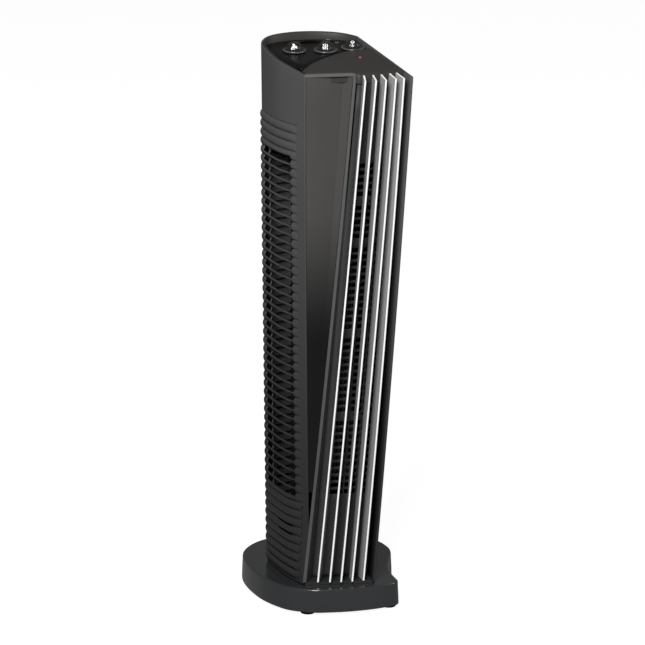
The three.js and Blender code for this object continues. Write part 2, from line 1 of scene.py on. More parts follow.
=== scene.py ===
"""Looks of the tower fan: fine surfaces, materials, light and camera round the fixed frame.

Plan coordinates are millimetres; make() moves them to the frame's metres. The outlet faces -Y.
"""
import json
import math
import bpy
import numpy as np
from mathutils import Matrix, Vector


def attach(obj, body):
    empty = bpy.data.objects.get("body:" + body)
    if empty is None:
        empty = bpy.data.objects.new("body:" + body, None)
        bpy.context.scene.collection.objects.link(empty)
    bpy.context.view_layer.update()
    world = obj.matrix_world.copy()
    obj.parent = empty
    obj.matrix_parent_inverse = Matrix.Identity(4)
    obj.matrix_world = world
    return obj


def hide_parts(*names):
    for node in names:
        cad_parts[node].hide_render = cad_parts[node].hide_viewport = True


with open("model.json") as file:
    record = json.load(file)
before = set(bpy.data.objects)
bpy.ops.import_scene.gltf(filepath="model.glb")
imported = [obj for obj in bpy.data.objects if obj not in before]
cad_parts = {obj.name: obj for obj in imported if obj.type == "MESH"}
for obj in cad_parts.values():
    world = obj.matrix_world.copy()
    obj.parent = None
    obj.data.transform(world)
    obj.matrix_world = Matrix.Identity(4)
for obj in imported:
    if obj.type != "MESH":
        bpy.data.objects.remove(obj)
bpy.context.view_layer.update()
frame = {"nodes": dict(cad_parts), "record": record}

# ---- driving sizes, in millimetres ----
SHIFT = np.array([0.9, 38.45, 3.2])
WALL = 3.0
GAP = 0.3
RIB_PITCH = 12.52
SLOT_CENTRE = 164.6
SLOT_COUNT = 39
SLOT_HALF = 4.8
THIN_SLOTS = (-4, -5)
THIN_HALF = 1.3
LOWEST_GROOVE = -10
HIGHEST_GROOVE = 42
RIB_BULGE = 2.6
BODY_FOOT = 35.3
BLADE_FOOT = 39.6
BLADE_HEAD = 760.0
FASCIA_FOOT = 170.0
TOP_SLOPE = math.tan(math.radians(8.4))
DECK_SLOPE = math.tan(math.radians(3.5))
BLADE_DEPTH = 24.0
BLADE_THICKNESS = 2.4
KNOB_PLACES = [(-43.5, -33.0), (-1.0, -42.0), (39.8, -38.4)]
ROOT = "stand"


def mix(a, b, t):
    return a + (b - a) * t


def rise(z):
    return (z - 38.0) / 722.0


def bow(low, high, bulge, t):
    return mix(low, high, t) + bulge * t * (1 - t)


def top_at(y):
    """Height of the sloping top at plan y."""
    return 786.0 + TOP_SLOPE * y


def deck_at(y):
    return 777.5 + DECK_SLOPE * y


def points(*columns):
    """Stacks x, y and z, broadcast together, as one array whose last axis has three entries."""
    return np.stack(np.broadcast_arrays(*[np.asarray(c, float) for c in columns]), axis=-1)


def catmull(knots, s):
    """A smooth path through the knots: knots has shape (..., n, d), s runs from 0 to n-1, the result (...,
    len(s), d)."""
    knots = np.asarray(knots, float)
    n = knots.shape[-2]
    first = 2 * knots[..., :1, :] - knots[..., 1:2, :]
    last = 2 * knots[..., -1:, :] - knots[..., -2:-1, :]
    k = np.concatenate([first, knots, last], axis=-2)
    i = np.clip(np.floor(s).astype(int), 0, n - 2)
    t = (s - i)[:, None]
    p0, p1, p2, p3 = (k[..., i + j, :] for j in range(4))
    return 0.5 * (2 * p1 + (p2 - p0) * t + (2 * p0 - 5 * p1 + 4 * p2 - p3) * t ** 2
                  + (3 * p1 - p0 - 3 * p2 + p3) * t ** 3)


def closed_path(outline, count):
    """A smooth closed path of count points through an outline."""
    k = np.asarray(outline, float)
    n = len(k)
    s = np.linspace(0, n, count, endpoint=False)
    i = np.floor(s).astype(int)
    t = (s - i)[:, None]
    p0, p1, p2, p3 = (k[(i + j) % n] for j in (-1, 0, 1, 2))
    return 0.5 * (2 * p1 + (p2 - p0) * t + (2 * p0 - 5 * p1 + 4 * p2 - p3) * t ** 2
                  + (3 * p1 - p0 - 3 * p2 + p3) * t ** 3)


def outward(path, closed=True):
    """Unit normals to the right of an anticlockwise plan path, which is its outside."""
    if closed:
        d = np.roll(path, -1, axis=-2) - np.roll(path, 1, axis=-2)
    else:
        d = np.gradient(path, axis=-2)
    d = d / np.linalg.norm(d, axis=-1, keepdims=True)
    return np.stack([d[..., 1], -d[..., 0]], axis=-1)


def grow(path, d):
    """Moves a closed anticlockwise path outwards by d."""
    return path + outward(path) * d


# ---- meshes ----
def quads(rows, cols, wrap_rows=False, wrap_cols=False):
    """Corner numbers of the faces of a rows by cols grid."""
    r = np.arange(rows if wrap_rows else rows - 1)
    c = np.arange(cols if wrap_cols else cols - 1)
    r, c = np.meshgrid(r, c, indexing="ij")
    r2, c2 = (r + 1) % rows, (c + 1) % cols
    return np.stack([r * cols + c, r * cols + c2, r2 * cols + c2, r2 * cols + c], axis=-1)


def make(name, vertices, faces, body=ROOT, slot=None, nodes=(), material=None,
         sharp=35.0, bevel=0.0, shell=0.0):
    """A piece in place: vertices are in plan millimetres, faces a list of corner lists, sharp the crease
    angle."""
    v = (np.asarray(vertices, float).reshape(-1, 3) + SHIFT) / 1000.0
    mesh = bpy.data.meshes.new(name)
    mesh.from_pydata(v.tolist(), [], faces)
    mesh.validate()
    mesh.polygons.foreach_set("use_smooth", np.ones(len(mesh.polygons), bool))
    mesh.set_sharp_from_angle(angle=math.radians(sharp))
    mesh.update()
    o = bpy.data.objects.new(name, mesh)
    bpy.context.scene.collection.objects.link(o)
    if shell:
        m = o.modifiers.new("wall", "SOLIDIFY")
        m.thickness = shell / 1000.0
        m.offset = -1
        m.use_rim = True
    if bevel:
        m = o.modifiers.new("edges", "BEVEL")
        m.width = bevel / 1000.0
        m.segments = 2
        m.limit_method = "ANGLE"
        m.angle_limit = math.radians(sharp)
        m.harden_normals = True
    if material is not None:
        for one in (material if isinstance(material, (list, tuple)) else [material]):
            mesh.materials.append(one)
    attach(o, body)
    if nodes:
        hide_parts(*nodes)
    return o


def tube(name, rings, **looks):
    """Skin over a stack of closed rings (levels, points, 3), anticlockwise from above and lowest first,
    with flat ends."""
    levels, n = rings.shape[:2]
    faces = quads(levels, n, wrap_cols=True).reshape(-1, 4).tolist()
    faces.append(list(range(n))[::-1])
    faces.append(list(range((levels - 1) * n, levels * n)))
    return make(name, rings, faces, **looks)


# ---- looks ----
def node_group(name, build):
    tree = bpy.data.node_groups.new(name, "ShaderNodeTree")
    build(tree)
    return tree


def build_grain(tree):
    """Fine moulded texture: a roughness value and a height, from noise at two scales."""
    tree.interface.new_socket("Scale", in_out="INPUT", socket_type="NodeSocketFloat")
    tree.interface.new_socket("Roughness", in_out="INPUT", socket_type="NodeSocketFloat")
    tree.interface.new_socket("Spread", in_out="INPUT", socket_type="NodeSocketFloat")
    tree.interface.new_socket("Roughness", in_out="OUTPUT", socket_type="NodeSocketFloat")
    tree.interface.new_socket("Height", in_out="OUTPUT", socket_type="NodeSocketFloat")
    n, links = tree.nodes, tree.links
    i, o = n.new("NodeGroupInput"), n.new("NodeGroupOutput")
    place = n.new("ShaderNodeTexCoord")
    fine = n.new("ShaderNodeTexNoise")
    fine.inputs["Detail"].default_value = 3
    soft = n.new("ShaderNodeTexNoise")
    soft.inputs["Scale"].default_value = 9
    soft.inputs["Detail"].default_value = 2
    links.new(place.outputs["Object"], fine.inputs["Vector"])
    links.new(place.outputs["Object"], soft.inputs["Vector"])
    links.new(i.outputs["Scale"], fine.inputs["Scale"])
    centre = n.new("ShaderNodeMath")
    centre.operation = "SUBTRACT"
    centre.inputs[1].default_value = 0.5
    links.new(soft.outputs["Fac"], centre.inputs[0])
    spread = n.new("ShaderNodeMath")
    spread.operation = "MULTIPLY_ADD"
    links.new(centre.outputs[0], spread.inputs[0])
    links.new(i.outputs["Spread"], spread.inputs[1])
    links.new(i.outputs["Roughness"], spread.inputs[2])
    links.new(spread.outputs[0], o.inputs["Roughness"])
    links.new(fine.outputs["Fac"], o.inputs["Height"])


def build_shade(tree):
    """A colour that goes from a low one to a high one between two heights, with a little mottling."""
    for name in ("Low", "High"):
        tree.interface.new_socket(name, in_out="INPUT", socket_type="NodeSocketColor")
    for name in ("From", "To"):
        tree.interface.new_socket(name, in_out="INPUT", socket_type="NodeSocketFloat")
    tree.interface.new_socket("Color", in_out="OUTPUT", socket_type="NodeSocketColor")
    n, links = tree.nodes, tree.links
    i, o = n.new("NodeGroupInput"), n.new("NodeGroupOutput")
    place = n.new("ShaderNodeTexCoord")
    split = n.new("ShaderNodeSeparateXYZ")
    ramp = n.new("ShaderNodeMapRange")
    ramp.interpolation_type = "SMOOTHSTEP"
    blend = n.new("ShaderNodeMix")
    blend.data_type = "RGBA"
    cloud = n.new("ShaderNodeTexNoise")
    cloud.inputs["Scale"].default_value = 14
    cloud.inputs["Detail"].default_value = 4
    tone = n.new("ShaderNodeMapRange")
    tone.inputs["To Min"].default_value = 0.93
    tone.inputs["To Max"].default_value = 1.07
    scale = n.new("ShaderNodeVectorMath")
    scale.operation = "SCALE"
    links.new(place.outputs["Object"], split.inputs[0])
    links.new(place.outputs["Object"], cloud.inputs["Vector"])
    links.new(split.outputs["Z"], ramp.inputs["Value"])
    links.new(i.outputs["From"], ramp.inputs["From Min"])
    links.new(i.outputs["To"], ramp.inputs["From Max"])
    links.new(ramp.outputs["Result"], blend.inputs[0])
    links.new(i.outputs["Low"], blend.inputs[6])
    links.new(i.outputs["High"], blend.inputs[7])
    links.new(cloud.outputs["Fac"], tone.inputs["Value"])
    links.new(blend.outputs[2], scale.inputs[0])
    links.new(tone.outputs["Result"], scale.inputs["Scale"])
    links.new(scale.outputs[0], o.inputs["Color"])


GRAIN = node_group("moulded_grain", build_grain)
SHADE = node_group("height_shade", build_shade)


def coat(name, low, high=None, z=(0.0, 0.79), rough=0.45, spread=0.12, scale=1500.0, bump=0.05, metal=0.0,
         clear=0.0, specular=0.5, glow=0.0):
    """A moulded or painted finish: colour by height (painted shade or sheen on some coats), roughness that
    wanders, a fine grain, and a glow that is painted light on the blade edges and white marks.
    """
    m = bpy.data.materials.new(name)
    m.use_nodes = True
    n, links = m.node_tree.nodes, m.node_tree.links
    shader = n["Principled BSDF"]
    shade = n.new("ShaderNodeGroup")
    shade.node_tree = SHADE
    shade.inputs["Low"].default_value = (*low, 1)
    shade.inputs["High"].default_value = (*(high or low), 1)
    shade.inputs["From"].default_value = z[0]
    shade.inputs["To"].default_value = z[1]
    links.new(shade.outputs["Color"], shader.inputs["Base Color"])
    grain = n.new("ShaderNodeGroup")
    grain.node_tree = GRAIN
    grain.inputs["Scale"].default_value = scale
    grain.inputs["Roughness"].default_value = rough
    grain.inputs["Spread"].default_value = spread
    links.new(grain.outputs["Roughness"], shader.inputs["Roughness"])
    lift = n.new("ShaderNodeBump")
    lift.inputs["Strength"].default_value = bump
    lift.inputs["Distance"].default_value = 0.0003
    links.new(grain.outputs["Height"], lift.inputs["Height"])
    links.new(lift.outputs["Normal"], shader.inputs["Normal"])
    shader.inputs["Metallic"].default_value = metal
    shader.inputs["Specular IOR Level"].default_value = specular
    shader.inputs["Coat Weight"].default_value = clear
    shader.inputs["Coat Roughness"].default_value = 0.04
    if glow:
        shader.inputs["Emission Color"].default_value = (*(high or low), 1)
        shader.inputs["Emission Strength"].default_value = glow
    return m


def grey(v, warm=0.0):
    return (v * (1 + warm), v, v * (1 - warm))


# satin_black: darker at the foot and lighter towards the top, a painted shade of light falling from above.
COATS = { "satin_black": coat("satin_black", grey(0.028), grey(0.085), (0.1, 0.75), rough=0.46, bump=0.12,
                              specular=0.25),
         # rib_shadow: painted shadow for the rib-end patches, a little lighter towards the top.
         "rib_shadow": coat("rib_shadow", grey(0.012), grey(0.03), (0.1, 0.72), rough=0.6, specular=0.15),
         "deck_black": coat("deck_black", grey(0.005), rough=0.35, specular=0.25),
         # gloss_black: black below and warm grey towards the top, a painted sheen standing for the fascia's
         # reflection.
         "gloss_black": coat("gloss_black", grey(0.002), grey(0.07, 0.03), (0.38, 0.6), rough=0.16,
                             spread=0.03, bump=0.0, clear=0.25, specular=0.25),
         "frame_grey": coat("frame_grey", grey(0.09), grey(0.12), (0.1, 0.7), rough=0.42, specular=0.3),
         "brow_black": coat("brow_black", grey(0.04, 0.08), rough=0.45, bump=0.08, specular=0.25),
         "silver_blade": coat("silver_blade", grey(0.34), grey(0.42), rough=0.42, spread=0.08, scale=2600.0,
                              bump=0.03, metal=0.0, specular=0.5),
         # Blade front edges and tops: near white with a glow, a painted highlight where the light catches
         # them.
         "painted_edge_highlight": coat("painted_edge_highlight", grey(0.86), rough=0.4, spread=0.04, glow=0.25),
         "base_black": coat("base_black", grey(0.03, -0.06), rough=0.24, spread=0.05, bump=0.02, clear=0.3),
         "smoke_knob": coat("smoke_knob", grey(0.014), rough=0.2, spread=0.05, bump=0.0, clear=0.4),
         "knob_rim": coat("knob_rim", grey(0.09), rough=0.25, spread=0.05, bump=0.0, clear=0.4),
         "rubber_black": coat("rubber_black", grey(0.006), rough=0.85, bump=0.2, specular=0.2),
         "iron_grey": coat("iron_grey", grey(0.09), rough=0.7, scale=600.0, bump=0.3, metal=0.6),
         "steel": coat("steel", grey(0.42), rough=0.32, metal=1.0),
         "inner_black": coat("inner_black", grey(0.006), rough=0.6, specular=0.15),
         "wheel_grey": coat("wheel_grey", grey(0.008), rough=0.6, specular=0.15),
         "red_lens": coat("red_lens", (0.7, 0.015, 0.02), rough=0.2, clear=0.6, glow=0.8),
         "board_green": coat("board_green", (0.02, 0.1, 0.04), rough=0.5),
         "heater_alu": coat("heater_alu", grey(0.06), rough=0.6, metal=0.7),
         "panel_grey": coat("panel_grey", grey(0.045), rough=0.5, specular=0.2),
         # mark_white_painted_glow: the print's own white, plus a glow that is painted light.
         "mark_white_painted_glow": coat("mark_white_painted_glow", grey(0.85), rough=0.5, glow=0.35),
         "mark_grey": coat("mark_grey", grey(0.3), rough=0.5), }

slots = {s["node"]: s["material_slot"] for s in frame["record"]["subparts"]}
for node, piece in frame["nodes"].items():
    piece.data.materials.clear()
    piece.data.materials.append(COATS[slots[node]])


def looks(slot, nodes=(), body=ROOT, **more):
    return {"slot": slot, "nodes": nodes, "body": body, "material": COATS[slot], **more}


# ---- housing ----
STRIP_WIDTH = 4.1


def strip_x(z):
    """Plan x of the strip's front edge at a height."""
    return bow(-61.2, 9.2, 8.5, rise(z))


def corner_left(z):
    """The left front corner: the wall's own line, or beside the strip where that is further left, near the
    foot."""
    x = np.minimum(bow(-55.5, -63, -7, rise(z)), strip_x(z) - STRIP_WIDTH - 0.1)
    return points(x, mix(-135, -140, rise(z)))


def corner_right(z):
    """The right front corner at a height."""
    return points(bow(35.1, 82.5, 8.3, rise(z)), mix(-154, -173, rise(z)))


REAR = [[46, 7], [28, 18], [0, 26], [-28, 28], [-52, 23.5], [-66, 16], [-76, 4]]
LEFT = [[-81, -10], [-82, -36], [-81, -60], [-79, -80], [-73.5, -104]]
BACK_RIGHT = np.array([58.0, -6.0])
WALL_KNOTS = [*LEFT[::-1], *REAR[::-1], list(BACK_RIGHT)]
LEAN_SHARE = np.array([0, 0.4, 0.8, 1, 1, 1, 1, 0.8, 0.5, 0.2, 0, 0, 0, 0, 0])


def lean_at(z):
    """How far the left side stands to the right of its plan: more at the foot than at the top."""
    return mix(4.5, -2.8, rise(z))


def wall_at(s, z):
    """Plan points of the wall's outer face. s counts knots from the front left corner round the back, and
    the straight right wall follows as the last unit; s and z broadcast to (levels, columns). The result has
    shape (levels, columns, 2)."""
    s, z = np.broadcast_arrays(s, z)
    last = len(WALL_KNOTS)
    k = np.asarray(WALL_KNOTS, float)
    a = corner_left(z)
    i = np.clip(np.floor(s).astype(int), 0, last - 1)
    t = np.clip(s - i, 0, 1)[..., None]
    padded = np.concatenate([np.zeros((1, 2)), k, 2 * k[-1:] - k[-2:-1]])

    def pick(j):
        index = np.clip(i + j, 0, last + 1)
        base = padded[index]
        base = base + points(LEAN_SHARE[index] * lean_at(z), 0)
        base = np.where((index == 0)[..., None], a, base)
        return np.where((i + j < 0)[..., None], 2 * a - k[0], base)

    p0, p1, p2, p3 = (pick(j) for j in (-1, 0, 1, 2))
    curve = 0.5 * (2 * p1 + (p2 - p0) * t + (2 * p0 - 5 * p1 + 4 * p2 - p3) * t ** 2
                   + (3 * p1 - p0 - 3 * p2 + p3) * t ** 3)
    straight = mix(BACK_RIGHT, corner_right(z), np.clip(s - last, 0, 1)[..., None])
    return np.where((s > last)[..., None], straight, curve)


def vent_shift(y, z):
    """How far the columns round the vent's front edge move forward at a height: the edge slants towards the
    foot."""
    edge = mix(-6.4, 0.0, np.clip((z - 165) / 475, 0, 1))
    return edge * np.interp(y, [-131, -120, -108, -60], [0, 0.9, 1, 0])


def wall_columns():
    """Knot counts of the columns: close together at the slot ends and where the ribs fade."""
    dense = np.linspace(0, 13, 2601)
    mid = wall_at(dense, np.full((1, len(dense)), 400.0))[0]
    left = dense < 6.5
    s_of_y = lambda y: np.interp(y, mid[left][:, 1], dense[left])
    behind = dense > 7.2
    s_of_x = lambda x: np.interp(x, mid[behind][:, 0], dense[behind])
    ys = [-131, -125, -120.5, -119.3, -118, -116, -113.5, -111, -109, -108, -100, -90, -80, -70, -58, -50,
          -42, -38.5, -30, -22, -16, -10, -4, 2]
    xs = [-62, -55, -48, -40, -30, -20, -13, -9, 0, 9, 18, 26, 30, 33, 36, 40, 46, 52]
    straight = 13 + np.array([0.04, 0.12, 0.25, 0.4, 0.55, 0.7, 0.85, 0.95, 1.0])
    s = np.concatenate([[0, 0.02, 0.06], s_of_y(np.array(ys, float)), [6.6, 7.0], s_of_x(np.array(xs, float)),
                        [13.0], straight])
    return np.sort(s), s_of_y, s_of_x


def housing():
    """The wall as a function of place along the plan path and height. Height runs in pitches: each has
    three rows across a groove or slot and four over a rounded rib; above the ribs plain rows lead to the
    sloping, rounded top edge. Faces that lie in the open slots are left out, and the skin gets the wall's
    thickness."""
    s, s_of_y, s_of_x = wall_columns()
    mid = wall_at(s, np.full((1, len(s)), 400.0))[0]
    on_left = s < 6.5
    y = np.where(on_left, mid[:, 1], 50.0)
    x = np.where(s > 7.2, mid[:, 0], -200.0)
    fade_front = np.clip((y + 119.3) / 16.0, 0, 1)
    fade_back = np.clip((34 - x) / 8.0, 0, 1) * (s < 13)
    swell = np.where(on_left, fade_front, fade_back) ** 0.6
    groove = np.where(on_left, np.where(y < -120.6, 0.05, 1.15), 1.15 * fade_back + 0.02)
    closed_half = np.maximum(np.where(s >= 13, 1.15, groove), 0.05)
    depth = np.where(on_left, np.where(y > -120, 1.5, 0), 1.5 * fade_back) * (s < 13)
    vent = (y >= -108.01) & (y <= -15.9) & on_left
    low_vent = (y >= -100.01) & (y <= -57.9) & on_left

    def opening(k):
        """Which columns are open at groove k, and half of the opening's height."""
        if 0 <= k < SLOT_COUNT:
            return vent, np.where(vent, SLOT_HALF, closed_half)
        if k in THIN_SLOTS:
            return low_vent, np.where(low_vent, THIN_HALF, closed_half)
        return np.zeros_like(vent), closed_half

    rows_z, rows_push, open_rows = [np.full(len(s), BODY_FOOT)], [np.zeros_like(depth)], [None]
    for k in range(LOWEST_GROOVE, HIGHEST_GROOVE + 1):
        centre = SLOT_CENTRE + k * RIB_PITCH
        is_open, half = opening(k)
        for j in (-1, 0, 1):
            rows_z.append(centre + j * half)
            rows_push.append(-depth if j == 0 else np.zeros_like(depth))
            open_rows.append(is_open if j < 1 else None)
        if k == HIGHEST_GROOVE:
            break
        start, stop = centre + half, centre + RIB_PITCH - opening(k + 1)[1]
        for f in (0.08, 0.32, 0.68, 0.92):
            rows_z.append(mix(start, stop, f))
            rows_push.append(RIB_BULGE * swell * math.sqrt(1 - (2 * f - 1) ** 2))
            open_rows.append(None)
    upper = np.array([0.06, 0.15, 0.35, 0.6, 0.85, 0.975, 0.995, 1.0])[:, None]
    foot = rows_z[-1]
    z = np.concatenate([np.array(rows_z), foot + (780.0 - foot) * upper])
    open_rows += [None] * len(upper)
    push = np.concatenate([np.array(rows_push), np.zeros((len(upper), len(s)))])
    moved = y + vent_shift(y, z.mean(axis=1)[:, None])
    place = np.where(on_left & (y > -131) & (y < -60), s_of_y(moved), s)
    for _ in range(4):
        plan = wall_at(place, z)
        z[-len(upper):] = foot + (top_at(plan[-1, :, 1]) - 0.05 - foot) * upper
    push[-2] -= 0.25
    push[-1] -= 0.9
    plan = plan - outward(plan, closed=False) * push[..., None]
    faces = quads(*z.shape)
    keep = np.ones(faces.shape[:2], bool)
    gaps = np.zeros(len(s) - 1, bool)
    for a, b in ((s_of_y(-108.0), s_of_y(-42.0)), (s_of_y(-38.5), s_of_y(-16.0))):
        gaps |= (s[:-1] >= a - 1e-6) & (s[1:] <= b + 1e-6)
    for r, is_open in enumerate(open_rows[:-1]):
        if is_open is not None:
            keep[r] &= ~(is_open[:-1] & is_open[1:] & gaps)
    quad_list = faces[keep][:, ::-1].reshape(-1, 4).tolist()
    return make("housing_skin", points(plan[..., 0], plan[..., 1], z), quad_list,
                **looks("satin_black", ["housing"], shell=2.4, sharp=50))


def painted_rib_end_shadows():
    """Painted shade of shallow D-shaped recesses where the ribs run out beside the front corner: each is a
    dark patch on the wall, straight where the rib ends and round towards the corner, laid just proud of it."""
    _, s_of_y, _ = wall_columns()
    u, v = np.meshgrid(np.linspace(0, 1, 9), np.linspace(-1, 1, 5), indexing="ij")
    vertices, faces = [], []
    for k in range(LOWEST_GROOVE + 1, HIGHEST_GROOVE):
        centre = SLOT_CENTRE + (k - 0.5) * RIB_PITCH - 0.8
        start = -108.8 + vent_shift(-108.0, centre) - (4.0 if k < 0 else 0.0)
        s = s_of_y(start - 8.5 * u)
        z = centre + 2.6 * v * np.sqrt(np.clip(1 - u ** 3, 0.02, 1))
        plan = wall_at(s, z)
        out = np.stack([-np.full_like(z, 0.88), -np.full_like(z, 0.47)], axis=-1)
        for lift in (-0.25, 0.12):
            q = plan + out * lift
            vertices.append(points(q[..., 0], q[..., 1], z).reshape(-1, 3))
        n = (len(vertices) - 2) * 45
        sheet = quads(9, 5).reshape(-1, 4)
        edge = [*range(0, 45, 5), *range(41, 45), *range(39, 3, -5), *range(3, 0, -1)]
        faces += (sheet + n).tolist() + (sheet[:, ::-1] + n + 45).tolist()
        faces += [[n + a, n + a + 45, n + b + 45, n + b] for a, b in zip(edge, edge[1:] + edge[:1])]
    return make("painted_rib_end_shadow", np.concatenate(vertices), faces,
                **looks("satin_black", ["housing"], material=COATS["rib_shadow"]))


housing()
painted_rib_end_shadows()


# ---- base ----
BASE_OUTLINE = [
    [-58, -159], [-36, -165.5], [-6, -170], [29, -169.5], [55, -164.5], [64.5, -160.5], [69.5, -153],
    [70.5, -142], [72, -113], [77, -88], [86, -62], [96, -38], [104, -20], [107.5, 2], [104.5, 30],
    [93, 56], [74, 79], [50, 94], [22, 103], [-6, 104], [-34, 99], [-60, 87], [-81, 68], [-96.5, 44],
    [-105, 16], [-108.8, -14], [-109.3, -46], [-106, -82], [-97, -114], [-84, -139]]
FEET = [(-60, -143), (57.5, -148.5), (86, 8), (-92, 8), (-4, 84)]


def base():
    """A bell: the outline swept down a draughted side with a rounded shoulder and turned in under the lower
    lip."""
    path = closed_path(BASE_OUTLINE, 240)
    profile = [(-WALL - 0.2, 31.8), (-WALL, 31.0), (-WALL, 1.6), (0.6, 1.6), (1.1, 1.9), (1.2, 2.6),
               (0.9, 14.0), (0.5, 22.0), (0.15, 30.0), (0.0, 33.0), (-0.35, 34.2), (-1.0, 34.8),
               (-1.9, 35.0), (-3.0, 35.0)]
    rings = [points(*grow(path, d).T, z) for d, z in profile]
    tube("base_bell", np.array(rings), **looks("base_black", ["base_shell"], sharp=40))


def foot(number, x, y):
    """A round rubber foot turned about its own axis, with a soft lower edge and a dished face."""
    a = np.linspace(0, 2 * np.pi, 40, endpoint=False)
    profile = [(2.0, 0.4), (6.0, 0.15), (8.0, 0.0), (8.8, 0.1), (9.6, 0.6), (10.4, 1.4), (10.5, 4.6),
               (4.0, 4.6)]
    rings = np.array([points(x + r * np.cos(a), y + r * np.sin(a), z - SHIFT[2]) for r, z in profile])
    tube(f"rubber_foot_{number}", rings, **looks("rubber_black", [f"foot_{number}"]))


base()
for number, (x, y) in enumerate(FEET, 1):
    foot(number, x, y)


# ---- fascia and its frame ----
def strip_edge(z):
    """Plan points of the strip's front edge."""
    return points(strip_x(z), mix(-137.5, -147, rise(z)))


def panel_left(z):
    """Plan points of the outlet panel's left edge."""
    return points(mix(-44, 10.5, rise(z)), mix(-114, -151.6, rise(z)))


def panel_right(z):
    """Plan points of the outlet panel's right edge."""
    t = rise(z)
    return points(mix(36.5, 76.5, t) + 8.3 * t * (1 - t) - WALL - GAP - 0.8, mix(-128, -149.4, t))


def sloped(rings, head):
    """Lifts the last ring of a stack to the height head(y)."""
    rings[-1, :, 2] = head(rings[-1, :, 1])
    return rings


def strip():
    """The slanting strip beside the blades: a section with a front face, a side turned back to the outlet
    panel and a lap before the left wall, moved up its edge line."""
    z = np.linspace(BLADE_FOOT, BLADE_HEAD, 60)
    e, p, a = strip_edge(z), panel_left(z), corner_left(z)
    x, y = e[:, 0], e[:, 1]
    corner = [points(x - STRIP_WIDTH, y, z), points(x, y, z),
              points(np.maximum(p[:, 0] - 0.4, x), np.maximum(p[:, 1], y + 4), z),
              points(np.maximum(p[:, 0] - 3.2, x - 3), np.maximum(p[:, 1] + 2, y + 6), z),
              points(np.maximum(a[:, 0] + WALL + 0.6, x - 4), y + 1.6, z),
              points(x - STRIP_WIDTH, y + 1.5, z)]
    rings = sloped(np.stack(corner, axis=1), lambda y: top_at(y) - 0.2)
    tube("fascia_strip", rings, **looks("frame_grey", ["fascia_frame"], bevel=0.4, sharp=30))


def lintel():
    """The bar under the brow: a rounded section moved from the left wall to the slanting strip."""
    a, e = corner_left(BLADE_HEAD), strip_edge(BLADE_HEAD)
    t = np.linspace(0, 1, 24)
    x = mix(a[0] + 0.6, e[0] - 0.6, t)
    y = mix(a[1] + 0.35, e[1], t)
    section = [(0.5, -4.0), (0.0, -3.6), (0.0, -0.7), (0.5, -0.2), (3.5, -0.2), (3.5, -4.0)]
    rings = np.array([points(x, y + d, top_at(y + d) + h) for d, h in section])
    rings = np.swapaxes(rings, 0, 1)
    tube("fascia_lintel", rings, **looks("frame_grey", ["fascia_frame"], sharp=40))


def fascia():
    """The gloss panel: a section of a flat face, a bevel and two back faces, narrow at the foot and wide at
    the head."""
    z = np.linspace(FASCIA_FOOT, BLADE_HEAD, 60)
    t = (z - FASCIA_FOOT) / (BLADE_HEAD - FASCIA_FOOT)
    a, e = corner_left(z), strip_edge(z)
    left = points(a[:, 0] + 0.8, a[:, 1] + 0.9)
    right = points(e[:, 0] - STRIP_WIDTH - 0.6, e[:, 1] + 0.8)
    bevel, recess = mix(0.6, 11.0, t), mix(0.2, 8.0, t)
    deep = points(right[:, 0] - bevel, mix(left[:, 1], right[:, 1], 0.8) + recess)
    between = [mix(left, deep, f) - points(0 * z, np.full_like(z, 1.2 * 4 * f * (1 - f))) * t[:, None]
               for f in (0.2, 0.4, 0.6, 0.8)]
    section = [left, *between, deep, right, right + [0, 2.0], deep + [0, 2.0], left + [0, 2.0]]
    rings = np.stack([points(c[:, 0], c[:, 1], z) for c in section], axis=1)
    tube("fascia_gloss", sloped(rings, lambda y: top_at(y) - 4.4),
         **looks("gloss_black", ["fascia_panel"], bevel=0.35, sharp=25))


strip()
lintel()
fascia()

# ---- blades ----
BLADES = [
    {"low": (-45.1, -142.0), "high": (10.9, -181.0), "bulge": 5.0, "lean": (29.0, 13.0)},
    {"low": (-29.1, -147.3), "high": (26.3, -181.7), "bulge": 3.9, "lean": (23.5, 7.5)},
    {"low": (-13.7, -151.2), "high": (40.7, -182.1), "bulge": 6.6, "lean": (18.0, 1.0)},
    {"low": (2.1, -153.4), "high": (55.5, -180.4), "bulge": 8.3, "lean": (9.5, -4.0)},
    {"low": (18.9, -153.5), "high": (67.6, -179.4), "bulge": 9.5, "lean": (1.0, -9.0)}]


def blade_frame(blade, z):
    """Front edge, direction back along the blade and direction across it, at heights z."""
    t = rise(z)
    front = points(mix(blade["low"][0], blade["high"][0], t) + blade["bulge"] * t * (1 - t),
                   mix(blade["low"][1], blade["high"][1], t))
    lean = np.radians(mix(blade["lean"][0], blade["lean"][1], t))
    along = points(np.sin(lean), np.cos(lean))
    side = points(np.cos(lean), -np.sin(lean))
    return front, along, side


